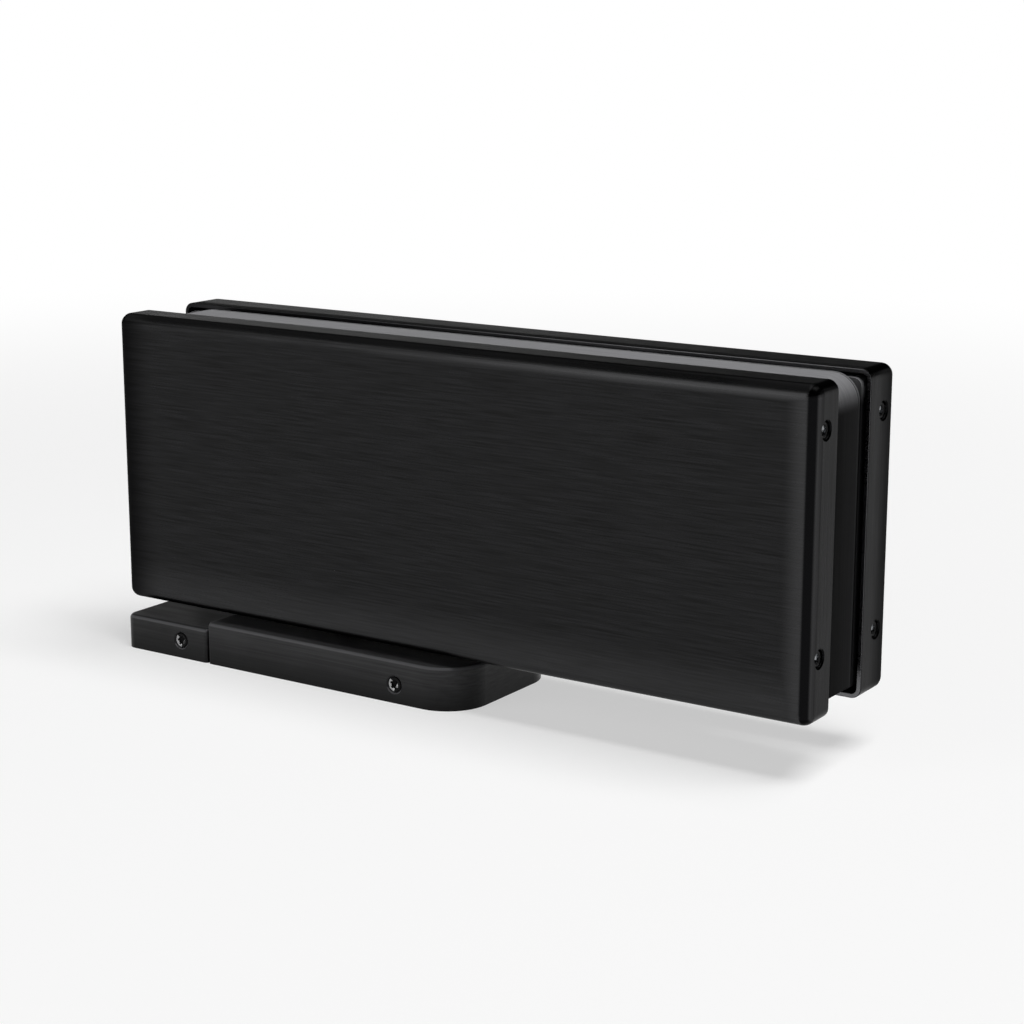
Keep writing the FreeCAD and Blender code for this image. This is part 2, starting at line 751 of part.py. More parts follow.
def piston_seal():
    start = piston_end - piston_ring_set - piston_ring_width
    return ring(piston_radius - piston_ring_depth, piston_radius, piston_ring_width,
                V(start, 0, bore_z), ALONG)


def roller_pin():
    half = piston_radius - pin_inset
    return rod(pin_radius, V(roller_x, 0, bore_z - half), V(roller_x, 0, bore_z + half))


def cam_roller():
    inner = pin_radius + running_fit
    edge = roller_radius - roller_chamfer
    return turned([(inner, 0), (edge, 0), (roller_radius, roller_chamfer),
                   (roller_radius, cam_height - roller_chamfer), (edge, cam_height), (inner, cam_height)],
                  V(roller_x, 0, cam_z0), UP)


def check_ball():
    return Part.makeSphere(check_ball_radius, V(ball_x, 0, bore_z))


def check_retainer():
    return ring(retainer_port_radius, check_bore_radius, retainer_length, V(retainer_x, 0, bore_z), ALONG)


# Speed valves

def valve_needle(x):
    """Turning needle valve with a screwdriver slot and a groove for its ring seal."""
    start = V(x, front_rim_y - valve_proud, valve_z)
    groove_end = valve_groove_set + 2 * (valve_ring_radius + seal_gap)
    floor = valve_radius - 2 * valve_ring_radius - seal_gap
    shoulder = valve_body_length - seal_gap
    body = turned([(0, 0), (valve_radius, 0), (valve_radius, valve_groove_set), (floor, valve_groove_set),
                   (floor, groove_end), (valve_radius, groove_end), (valve_radius, shoulder),
                   (needle_radius, shoulder),
                   (needle_tip_radius, valve_body_length + needle_length),
                   (0, valve_body_length + needle_length)], start, ACROSS)
    half = valve_slot_width / 2
    return body.cut(box(x - valve_radius, x + valve_radius, start.y, start.y + valve_slot_depth,
                        valve_z - half, valve_z + half))


def valve_ring(x):
    middle = front_rim_y - valve_proud + valve_groove_set + valve_ring_radius + seal_gap
    return Part.makeTorus(valve_radius - valve_ring_radius, valve_ring_radius - seal_gap / 2,
                          V(x, middle, valve_z), ACROSS)


# Rear half

def clamp_outline(y0, y1):
    plate = box(leaf_x0 + clamp_inset, leaf_x1 - clamp_inset, y0, y1,
                leaf_z0 + clamp_inset, leaf_z1 - clamp_inset)
    return rounded(plate, clamp_corner_round, lambda edge: runs_along(edge, ACROSS))


def clamp_plate():
    lugs = [box(x, x + lug_length, clamp_front, lug_back, z - lug_height / 2, z + lug_height / 2)
            for x in (lug_x0, lug_x1 - lug_length) for z in grub_heights]
    plate = fused([clamp_outline(clamp_front, clamp_back)] + lugs)
    cuts = [window(clamp_front, clamp_back)] + bolt_holes(clamp_front, clamp_back)
    return plate.cut(cuts + screw_holes(cover_screw_ends(rear_grub_y), grub_radius + close_fit, grub_length))


def rear_pad():
    y0 = clamp_front - pad_thickness
    return clamp_outline(y0, clamp_front).cut([window(y0, clamp_front)] + bolt_holes(y0, clamp_front))


def clamp_bolts():
    bolts = []
    shank_end = front_rim_y - bolt_boss_height - clamp_back
    for x, z in bolt_places:
        bolt = turned([(0, shank_end), (bolt_radius, shank_end), (bolt_radius, 0), (bolt_head_radius, 0),
                       (bolt_head_radius, bolt_head_height - bolt_head_chamfer),
                       (bolt_head_radius - bolt_head_chamfer, bolt_head_height), (0, bolt_head_height)],
                      V(x, clamp_back, z), ACROSS)
        head = V(x, clamp_back + bolt_head_height, z)
        bolts.append(bolt.cut(hexagon(bolt_socket, bolt_socket_depth, head, -ACROSS)))
    return Part.makeCompound(bolts)


def pieces():
    made = {
        "floor_plate": floor_plate(),
        "floor_cover": floor_cover(),
        "end_cover": end_cover(),
        "floor_cover_screws": floor_cover_screws(),
        "pivot_seat": pivot_seat(),
        "pivot_seat_screws": pivot_seat_screws(),
        "spindle": spindle(),
        "cam": cam(),
        "hydraulic_body": hydraulic_body(),
        "front_pad": front_pad(),
        "front_cover": front_cover(),
        "front_cover_screws": front_cover_screws(),
        "bottom_gland": bottom_gland(),
        "spindle_seal": spindle_seal(),
        "lower_bush": lower_bush(),
        "upper_bush": upper_bush(),
        "thrust_disc": thrust_disc(),
        "top_plug": top_plug(),
        "end_plug": bore_plug(plug_face, plug_length, ALONG, True),
        "end_plug_seal": bore_ring(plug_face + plug_length / 2),
        "cam_end_plug": bore_plug(cam_plug_x1, cam_plug_length, -ALONG, False),
        "cam_end_seal": bore_ring(cam_plug_x1 - cam_plug_length / 2),
        "fill_plug": fill_plug(),
        "return_spring": return_spring(),
        "piston": piston(),
        "piston_seal": piston_seal(),
        "roller_pin": roller_pin(),
        "cam_roller": cam_roller(),
        "check_ball": check_ball(),
        "check_retainer": check_retainer(),
        "clamp_plate": clamp_plate(),
        "rear_pad": rear_pad(),
        "rear_cover": rear_cover(),
        "rear_cover_screws": rear_cover_screws(),
        "clamp_bolts": clamp_bolts(),
    }
    for name, x in valve_places.items():
        made[name] = valve_needle(x)
        made[name + "_seal"] = valve_ring(x)
    return made


os.makedirs("parts", exist_ok=True)
for node, shape in pieces().items():
    shape.exportStep("parts/" + node + ".step")
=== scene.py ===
import json
import math

import bmesh
import bpy
from mathutils import Matrix, Vector


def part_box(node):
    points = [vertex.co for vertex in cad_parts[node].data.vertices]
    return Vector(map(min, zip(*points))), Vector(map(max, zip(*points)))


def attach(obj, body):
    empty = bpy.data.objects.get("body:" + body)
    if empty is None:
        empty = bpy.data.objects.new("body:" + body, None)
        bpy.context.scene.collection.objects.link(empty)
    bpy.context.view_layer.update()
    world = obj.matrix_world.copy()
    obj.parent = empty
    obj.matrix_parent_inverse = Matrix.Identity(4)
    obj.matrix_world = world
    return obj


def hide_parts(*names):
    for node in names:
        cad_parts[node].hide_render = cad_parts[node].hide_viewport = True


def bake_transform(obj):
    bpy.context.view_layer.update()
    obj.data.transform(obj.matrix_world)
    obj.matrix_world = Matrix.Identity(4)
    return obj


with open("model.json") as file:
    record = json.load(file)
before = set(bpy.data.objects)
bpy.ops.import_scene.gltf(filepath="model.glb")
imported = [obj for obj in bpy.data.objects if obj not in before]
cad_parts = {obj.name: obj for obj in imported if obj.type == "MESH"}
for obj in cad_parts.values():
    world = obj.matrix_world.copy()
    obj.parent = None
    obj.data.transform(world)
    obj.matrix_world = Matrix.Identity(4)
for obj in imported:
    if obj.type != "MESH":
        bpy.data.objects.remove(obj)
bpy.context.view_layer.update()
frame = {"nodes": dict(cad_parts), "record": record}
nodes = frame["nodes"]

MM = 0.001

# Camera, from the photograph's own perspective
CAMERA_AZIMUTH = 33.88            # degrees to the right of the front
CAMERA_ELEVATION = 12.93          # degrees above the floor
CAMERA_TARGET = Vector((49.1, 8.2, 44.0)) * MM
CAMERA_DISTANCE = 550.0 * MM
CAMERA_LENS = 78.34               # mm, on a 36 mm wide sensor
SENSOR_WIDTH = 36.0

# Places on the hinge
SLOT_MIDDLE = 3.45 * MM           # between the two halves
PAD_SEAM = 0.45 * MM              # between the front jaw and its pad
SEAM_REACH = 0.15 * MM
PAD_BACK = 1.25 * MM
COVER_BEND = 3.0 * MM             # rounding round a cover's face
HOOD_HEIGHT = 11.0 * MM
LIT_TOP_HEIGHT = 8.3 * MM          # below the covers' top, where painted light from above starts to turn the castings pale
cover_low, cover_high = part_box("front_cover")
rear_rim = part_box("rear_cover")[0].y

# Brushed lines on the covers, in mm
LINE_LENGTH = 14.0
LINE_WIDTH = 0.4
GLOSS_PATCH = 38.0

# Where painted highlights lighten the covers, and how much
FAR_BORDER = 8 * MM               # inwards from the far end
FAR_HIGHLIGHT = 0.34
LOWER_BORDER = 14 * MM            # upwards from the lower edge
LOWER_HIGHLIGHT = 0.2
UPPER_BORDER = (4.2 * MM, 2.9 * MM, 2.6 * MM, 0.8 * MM)   # below the top: start, full, fade and end
UPPER_START = 70 * MM             # from the pivot end, where the upper border starts to grow
UPPER_FULL = 40 * MM              # from the far end, where it is full
UPPER_HIGHLIGHT = (0.04, 0.42)

# Where painted shade darkens the covers, which are also matter there, and how much
PIVOT_SHADE = 13 * MM             # inwards from the pivot end
PIVOT_DARK = 0.8
REAR_SHADE = (2 * MM, 12 * MM)    # rearwards from the rear cover's rim
REAR_DARK = 0.75
RIM_LINE = (-0.1 * MM, 0.3 * MM, 2 * MM, 4 * MM)          # behind that rim: start, full, fade and end
RIM_DARK = 0.5
TOP_START = 115 * MM              # from the pivot end
TOP_FULL = 15 * MM                # from the far end
TOP_DARK = 0.3
SHADE_ROUGHNESS = 0.45            # added where the shade is full
CUT_RIM_ENDS = 30 * MM            # from both ends of a cover, between which painted light turns the cut rim brighter

# Grub screws
GRUB_LENGTH = 7.0 * MM
FLOOR_GRUB_LENGTH = 6.0 * MM
GRUB_SOCKET = 2.0 * MM            # across flats
GRUB_SOCKET_DEPTH = 0.4 * MM
GRUB_DRILL_POINT = 0.55 * MM      # cone under the socket
GRUB_DRILL_END = 0.1              # share of the socket's width that is left at the cone's point
GRUB_TIP = 0.6 * MM
THREAD_PITCH = 0.7 * MM
THREAD_DEPTH = 0.3 * MM
THREAD_ROWS = 4                   # rows of points in one pitch
SCREW_SIDES = 24
SCREW_TURN = 0.7                  # radians from one screw's socket to the next
SHARP_ANGLE = math.radians(40)

# A screw's outer end, as shares of its radius
SOCKET_MOUTH = -0.1               # height of the socket's mouth
SOCKET_BELOW = -0.15              # faces under this height belong to the socket
SCREW_FACE = (0.68, -0.03)        # radius and height of the ring inside the rim
SCREW_RIM = ((0.8, 0.0), (0.9, -0.02), (0.96, -0.07), (1.0, -0.15))   # the domed rim, outwards
THREAD_FROM = 0.99                # points outside this radius are on the thread
GLINT_SOCKET_FROM = 0.2          # radius outside which the socket's faces take the painted glint
GLINT_RIM_FROM = 0.6
GLINT_SOCKET_SIDE = math.radians(-20)           # side of the socket with the painted glint
GLINT_RIM_SIDE = math.radians(200)
GLINT_REACH = math.radians(72)             # to both sides of it

MERGE_GAP = 0.001 * MM            # points closer than this are one

# Studio, in metres and watts
FLOOR_RADIUS = 4.0
FLOOR_SIDES = 64
FLOOR_RISE = 0.45                 # the paper's turned-up edge
FLOOR_NEAR = 0.2                  # from the object, where the floor starts to turn pure white
FLOOR_FAR = 0.8
FLOOR_GLOW = (0.55, 1.0)          # share of pure white near and far
ROOM_LEFT = (-0.75, -0.4)         # direction in X between which the room turns from light to dim
ROOM_LEVEL = (0.24, 0.03)
ROOM_RISE = (0.15, 0.5)           # direction in Z between which it turns dimmer
ROOM_ABOVE = 0.3
LAMP_AIM = Vector((0.04, 0, 0.04))

# Settings of common nodes
SMOOTH = {"interpolation_type": "SMOOTHSTEP"}
TIMES = {"operation": "MULTIPLY"}
LARGER = {"operation": "MAXIMUM"}
TIMES_PLUS = {"operation": "MULTIPLY_ADD"}
ABOVE = {"operation": "GREATER_THAN"}
COLOURS = {"data_type": "RGBA"}   # a Mix node's sockets are then 0 factor, 6 and 7 colours, and 2 out


# Nodes and colours

def linear(colour):
    """An sRGB hex value such as #1c1c1d as linear RGBA."""
    channels = [int(colour[i:i + 2], 16) / 255 for i in (1, 3, 5)]
    return [c / 12.92 if c <= 0.04045 else ((c + 0.055) / 1.055) ** 2.4 for c in channels] + [1.0]


def add(tree, kind, settings=None, inputs=None):
    """Adds a node, sets its properties, and sets or links its inputs."""
    node = tree.nodes.new("ShaderNode" + kind)
    for name, value in (settings or {}).items():
        setattr(node, name, value)
    for key, value in (inputs or {}).items():
        if isinstance(value, bpy.types.NodeSocket):
            tree.links.new(value, node.inputs[key])
        else:
            node.inputs[key].default_value = value
    return node


def new_finish(name):
    """An empty material and its node tree."""
    made = bpy.data.materials.new(name)
    made.use_nodes = True
    made.node_tree.nodes.clear()
    return made, made.node_tree


def per_metre(*sizes_mm):
    """Mapping scale that makes one unit of a pattern as large as these sizes."""
    return [1 / (size * MM) for size in sizes_mm]


def band(tree, value, start, full, fade, end):
    """A soft mask over a value: it rises from start to full and falls from fade to end."""
    rise = add(tree, "MapRange", SMOOTH, {"Value": value, "From Min": start, "From Max": full})
    fall = add(tree, "MapRange", SMOOTH, {"Value": value, "From Min": end, "From Max": fade})
    both = add(tree, "Math", TIMES, {0: rise.outputs[0], 1: fall.outputs[0]})
    return both.outputs[0]


# Finishes

def black_brushed_steel():
    """Stainless sheet, line-brushed along the leaf and coated black.
    It shows fine lighter and darker lines that run lengthwise, a soft sheen that they spread out, painted
    shade that darkens the face at the pivot end, the tops towards the far end and the rear half's ends,
    painted highlights next to the face's other edges and on its upper roundings, painted shade on the bends
    towards the ends and on the corners, and uncoated steel on the cut rim, which painted light brightens
    towards the far end."""
    made, tree = new_finish("black_brushed_steel")
    place = add(tree, "TexCoord")
    spot = add(tree, "SeparateXYZ", {}, {"Vector": place.outputs["Object"]})
    facing = add(tree, "SeparateXYZ", {}, {"Vector": place.outputs["Normal"]})
    either_way = add(tree, "VectorMath", {"operation": "ABSOLUTE"}, {0: place.outputs["Normal"]})
    steep = add(tree, "SeparateXYZ", {}, {"Vector": either_way.outputs[0]})
    on_end = add(tree, "Math", ABOVE, {0: steep.outputs["X"], 1: 0.75})
    on_top = add(tree, "Math", ABOVE, {0: facing.outputs["Z"], 1: 0.9})
    on_face = add(tree, "MapRange", {}, {"Value": steep.outputs["Y"], "From Min": 0.1, "From Max": 0.5})

    # The real lines are about 0.05 mm wide: they are drawn wider, so that they show
    lengthwise = add(tree, "Mapping", {}, {
        "Vector": place.outputs["Object"], "Scale": per_metre(LINE_LENGTH, LINE_WIDTH, LINE_WIDTH)})
    upright = add(tree, "Mapping", {}, {
        "Vector": place.outputs["Object"], "Scale": per_metre(LINE_WIDTH, LINE_WIDTH, LINE_LENGTH)})
    along = add(tree, "Mix", {"data_type": "VECTOR"},
                {0: on_end.outputs[0], 4: lengthwise.outputs[0], 5: upright.outputs[0]})
    lines = add(tree, "TexNoise", {},
                {"Vector": along.outputs[1], "Scale": 1.0, "Detail": 4.0, "Roughness": 0.6})
    patches = add(tree, "TexNoise", {},
                  {"Vector": place.outputs["Object"], "Scale": 1 / (GLOSS_PATCH * MM), "Detail": 2.0})
    line_tone = add(tree, "MapRange", {}, {"Value": lines.outputs[0], "From Min": 0.32, "From Max": 0.7})
    brushed = add(tree, "Mix", COLOURS,
                  {0: line_tone.outputs[0], 6: linear("#1f1f1f"), 7: linear("#2b2b2c")})

    # Painted highlights: lighter next to the far end, along the upper bend, towards the lower edge and on
    # roundings that face upwards
    far = add(tree, "MapRange", SMOOTH, {
        "Value": spot.outputs["X"], "From Min": cover_high.x - FAR_BORDER,
        "From Max": cover_high.x - COVER_BEND, "To Max": FAR_HIGHLIGHT})
    lower = add(tree, "MapRange", SMOOTH, {
        "Value": spot.outputs["Z"], "From Min": cover_low.z + LOWER_BORDER,
        "From Max": cover_low.z + COVER_BEND, "To Max": LOWER_HIGHLIGHT})
    along_bend = band(tree, spot.outputs["Z"], *[cover_high.z - depth for depth in UPPER_BORDER])
    growing = add(tree, "MapRange", {}, {
        "Value": spot.outputs["X"], "From Min": cover_low.x + UPPER_START,
        "From Max": cover_high.x - UPPER_FULL, "To Min": UPPER_HIGHLIGHT[0], "To Max": UPPER_HIGHLIGHT[1]})
    upper = add(tree, "Math", TIMES, {0: along_bend, 1: growing.outputs[0]})
    edges = add(tree, "Math", LARGER, {0: far.outputs[0], 1: lower.outputs[0]})
    border = add(tree, "Math", LARGER, {0: edges.outputs[0], 1: upper.outputs[0]})
    on_border = add(tree, "Math", TIMES, {0: border.outputs[0], 1: on_face.outputs[0]})
    crest = band(tree, facing.outputs["Z"], 0.35, 0.6, 0.9, 0.98)
    highlight_mask = add(tree, "Math", LARGER, {0: on_border.outputs[0], 1: crest})
    highlighted = add(tree, "Mix", COLOURS, {0: highlight_mask.outputs[0], 6: brushed.outputs[2], 7: linear("#525253")})

    # Painted shade, on a matter surface: darker at the pivot end, on top towards the far end, down the rear
    # half's ends, and in a line along its rim's upper edge
    pivot_end = add(tree, "MapRange", SMOOTH, {
        "Value": spot.outputs["X"], "From Min": cover_low.x + PIVOT_SHADE, "From Max": cover_low.x,
        "To Max": PIVOT_DARK})
    on_pivot = add(tree, "Math", TIMES, {0: pivot_end.outputs[0], 1: on_face.outputs[0]})
    rearward = add(tree, "MapRange", SMOOTH, {
        "Value": spot.outputs["Y"], "From Min": rear_rim + REAR_SHADE[0],
        "From Max": rear_rim + REAR_SHADE[1], "To Max": REAR_DARK})
    on_rear = add(tree, "Math", TIMES, {0: rearward.outputs[0], 1: on_end.outputs[0]})
    rim_line = band(tree, spot.outputs["Y"], *[rear_rim + depth for depth in RIM_LINE])
    thin_line = add(tree, "Math", TIMES, {0: rim_line, 1: RIM_DARK})
    far_top = add(tree, "MapRange", SMOOTH, {
        "Value": spot.outputs["X"], "From Min": cover_low.x + TOP_START,
        "From Max": cover_high.x - TOP_FULL, "To Max": TOP_DARK})
    upward = add(tree, "Math", LARGER, {0: thin_line.outputs[0], 1: far_top.outputs[0]})
    on_upward = add(tree, "Math", TIMES, {0: upward.outputs[0], 1: on_top.outputs[0]})
    ends = add(tree, "Math", LARGER, {0: on_pivot.outputs[0], 1: on_rear.outputs[0]})
    shade = add(tree, "Math", LARGER, {0: ends.outputs[0], 1: on_upward.outputs[0]})
    shaded = add(tree, "Mix", COLOURS, {0: shade.outputs[0], 6: highlighted.outputs[2], 7: linear("#0a0a0b")})

    # Painted shade on the bends towards the ends, darkest on the corners
    bend = band(tree, steep.outputs["X"], 0.08, 0.28, 0.72, 0.88)
    bends_shaded = add(tree, "Mix", COLOURS, {0: bend, 6: shaded.outputs[2], 7: linear("#121213")})
    tilted = add(tree, "MapRange", {}, {"Value": steep.outputs["Z"], "From Min": 0.25, "From Max": 0.5})
    corner = add(tree, "Math", TIMES, {0: bend, 1: tilted.outputs[0]})
    coated = add(tree, "Mix", COLOURS, {0: corner.outputs[0], 6: bends_shaded.outputs[2], 7: linear("#050505")})

    # The cut rim looks at the other half: it is uncoated steel, and painted light brightens it towards the
    # far end
    behind = add(tree, "Math", {"operation": "SUBTRACT"}, {0: spot.outputs["Y"], 1: SLOT_MIDDLE})
    half = add(tree, "Math", {"operation": "SIGN"}, {0: behind.outputs[0]})
    outward = add(tree, "Math", TIMES, {0: facing.outputs["Y"], 1: half.outputs[0]})
    rim = add(tree, "Math", {"operation": "LESS_THAN"}, {0: outward.outputs[0], 1: -0.9})
    brighter = add(tree, "MapRange", SMOOTH, {
        "Value": spot.outputs["X"], "From Min": cover_low.x + CUT_RIM_ENDS,
        "From Max": cover_high.x - CUT_RIM_ENDS})
    lit_tone = add(tree, "Mix", COLOURS, {0: brighter.outputs[0], 6: linear("#2a2a2b"), 7: linear("#6c6c6e")})
    colour = add(tree, "Mix", COLOURS, {0: rim.outputs[0], 6: coated.outputs[2], 7: lit_tone.outputs[2]})

    # Gloss and relief
    shine = add(tree, "MapRange", {}, {
        "Value": lines.outputs[0], "From Min": 0.3, "From Max": 0.7, "To Min": 0.32, "To Max": 0.26})
    patchy = add(tree, "MapRange", {}, {
        "Value": patches.outputs[0], "From Min": 0.3, "From Max": 0.7, "To Min": -0.03, "To Max": 0.03})
    clear = add(tree, "Math", {"operation": "ADD"}, {0: shine.outputs[0], 1: patchy.outputs[0]})
    rough = add(tree, "Math", TIMES_PLUS, {0: shade.outputs[0], 1: SHADE_ROUGHNESS, 2: clear.outputs[0]})
    relief = add(tree, "Bump", {}, {"Height": lines.outputs[0], "Strength": 0.3, "Distance": 0.02 * MM})
    shader = add(tree, "BsdfPrincipled", {}, {
        "Base Color": colour.outputs[2], "Roughness": rough.outputs[0], "Normal": relief.outputs[0],
        "Metallic": 1.0, "Specular Tint": linear("#d3d3d3")})
    add(tree, "OutputMaterial", {}, {"Surface": shader.outputs[0]})
    return made


def black_satin_coat():
    """Sheet steel hood, polished lengthwise and coated satin black.
    It shows the fine orange peel of the coat over faint lines, painted shade that darkens it towards the
    floor, and a painted highlight along the upper edges."""
    made, tree = new_finish("black_satin_coat")
    place = add(tree, "TexCoord")
    spot = add(tree, "SeparateXYZ", {}, {"Vector": place.outputs["Object"]})
    facing = add(tree, "SeparateXYZ", {}, {"Vector": place.outputs["Normal"]})
    peel = add(tree, "TexNoise", {},
               {"Vector": place.outputs["Object"], "Scale": 1 / (0.6 * MM), "Detail": 2.0})
    stretch = add(tree, "Mapping", {}, {"Vector": place.outputs["Object"], "Scale": per_metre(40, 3, 0.5)})
    lines = add(tree, "TexNoise", {},
                {"Vector": stretch.outputs[0], "Scale": 1.0, "Detail": 4.0, "Roughness": 0.6})
    clouds = add(tree, "TexNoise", {},
                 {"Vector": place.outputs["Object"], "Scale": 1 / (14 * MM), "Detail": 3.0})
    mottle = add(tree, "Math", TIMES_PLUS, {0: clouds.outputs[0], 1: 0.5, 2: lines.outputs[0]})
    tone = add(tree, "MapRange", {}, {
        "Value": mottle.outputs[0], "From Min": 0.5, "From Max": 1.0, "To Min": 0.55, "To Max": 1.45})
    # Painted light: lighter towards the top and darker towards the floor, with a random mottle
    height = add(tree, "MapRange", {},
                 {"Value": spot.outputs["Z"], "From Min": 0.0, "From Max": HOOD_HEIGHT})
    height_lit_mottled = add(tree, "Math", TIMES, {0: height.outputs[0], 1: tone.outputs[0]})
    coat = add(tree, "Mix", COLOURS, {0: height_lit_mottled.outputs[0], 6: linear("#050506"), 7: linear("#3b3b3c")})
    # Painted highlight along the upper edges
    edge = band(tree, facing.outputs["Z"], 0.2, 0.45, 0.75, 0.9)
    colour = add(tree, "Mix", COLOURS, {0: edge, 6: coat.outputs[2], 7: linear("#5c5c5e")})
    rough = add(tree, "MapRange", {}, {
        "Value": mottle.outputs[0], "From Min": 0.5, "From Max": 1.0, "To Min": 0.42, "To Max": 0.28})
    relief = add(tree, "Bump", {}, {"Height": peel.outputs[0], "Strength": 0.2, "Distance": 0.03 * MM})
    shader = add(tree, "BsdfPrincipled", {}, {
        "Base Color": colour.outputs[2], "Roughness": rough.outputs[0], "Normal": relief.outputs[0],
        "Specular IOR Level": 0.16})
    add(tree, "OutputMaterial", {}, {"Surface": shader.outputs[0]})
    return made


def black_casting_lit_top(name, coat_dark, coat_light, lit_top_dark, lit_top_light):
    """Die-cast zinc, coated black. It shows a matt, finely pitted black, lighter towards the glass, and
    painted light from above that turns it to a pale tone with straight lines on the upper edge and round
    its corners, fading down the sides."""
    made, tree = new_finish(name)
    place = add(tree, "TexCoord")
    spot = add(tree, "SeparateXYZ", {}, {"Vector": place.outputs["Object"]})
    pits = add(tree, "TexNoise", {},
               {"Vector": place.outputs["Object"], "Scale": 1 / (0.35 * MM), "Detail": 3.0})
    stretch = add(tree, "Mapping", {}, {"Vector": place.outputs["Object"], "Scale": per_metre(30, 0.5, 30)})
    lines = add(tree, "TexNoise", {},
                {"Vector": stretch.outputs[0], "Scale": 1.0, "Detail": 4.0, "Roughness": 0.6})
    tone = add(tree, "MapRange", {}, {"Value": lines.outputs[0], "From Min": 0.3, "From Max": 0.7})
    lit_tone = add(tree, "Mix", COLOURS, {0: tone.outputs[0], 6: linear(lit_top_dark), 7: linear(lit_top_light)})
    to_glass = add(tree, "MapRange", {},
                   {"Value": spot.outputs["Y"], "From Min": cover_high.y, "From Max": PAD_BACK})
    coat = add(tree, "Mix", COLOURS, {0: to_glass.outputs[0], 6: linear(coat_dark), 7: linear(coat_light)})
    # Painted light from above: pale on the upper edge and round its corners, fading into the black coat
    # lower down; the seam between jaw and pad stays dark
    on_top = add(tree, "MapRange", SMOOTH, {
        "Value": spot.outputs["Z"], "From Min": cover_high.z - LIT_TOP_HEIGHT, "From Max": cover_high.z})
    seam = add(tree, "Math", {"operation": "COMPARE"}, {0: spot.outputs["Y"], 1: PAD_SEAM, 2: SEAM_REACH})
    top_lit_share = add(tree, "Math", {"operation": "SUBTRACT", "use_clamp": True},
                 {0: on_top.outputs[0], 1: seam.outputs[0]})
    colour = add(tree, "Mix", COLOURS, {0: top_lit_share.outputs[0], 6: coat.outputs[2], 7: lit_tone.outputs[2]})
    rough = add(tree, "MapRange", {}, {
        "Value": lines.outputs[0], "From Min": 0.3, "From Max": 0.7, "To Min": 0.42, "To Max": 0.55})
    surface = add(tree, "Math", TIMES_PLUS, {0: pits.outputs[0], 1: 0.3, 2: lines.outputs[0]})
    relief = add(tree, "Bump", {}, {"Height": surface.outputs[0], "Strength": 0.25, "Distance": 0.03 * MM})
    shader = add(tree, "BsdfPrincipled", {}, {
        "Base Color": colour.outputs[2], "Roughness": rough.outputs[0], "Normal": relief.outputs[0],
        "Specular IOR Level": 0.012})
    add(tree, "OutputMaterial", {}, {"Surface": shader.outputs[0]})
    return made


def grained_finish(name, dark, light, grain_mm, roughness, relief_mm, metallic=1.0, specular=0.5):
    """A surface whose colour, gloss and relief follow one grain, with a size given along each axis."""
    made, tree = new_finish(name)
    place = add(tree, "TexCoord")
    stretch = add(tree, "Mapping", {}, {"Vector": place.outputs["Object"], "Scale": per_metre(*grain_mm)})
    grain = add(tree, "TexNoise", {},
                {"Vector": stretch.outputs[0], "Scale": 1.0, "Detail": 4.0, "Roughness": 0.6})
    tone = add(tree, "MapRange", {}, {"Value": grain.outputs[0], "From Min": 0.3, "From Max": 0.7})
    colour = add(tree, "Mix", COLOURS, {0: tone.outputs[0], 6: linear(dark), 7: linear(light)})
    rough = add(tree, "MapRange", {}, {
        "Value": grain.outputs[0], "From Min": 0.3, "From Max": 0.7,
        "To Min": roughness[0], "To Max": roughness[1]})
    relief = add(tree, "Bump", {},
                 {"Height": grain.outputs[0], "Strength": 0.4, "Distance": relief_mm * MM})
    shader = add(tree, "BsdfPrincipled", {}, {
        "Base Color": colour.outputs[2], "Roughness": rough.outputs[0], "Normal": relief.outputs[0],
        "Metallic": metallic, "Specular IOR Level": specular})
    add(tree, "OutputMaterial", {}, {"Surface": shader.outputs[0]})
    return made


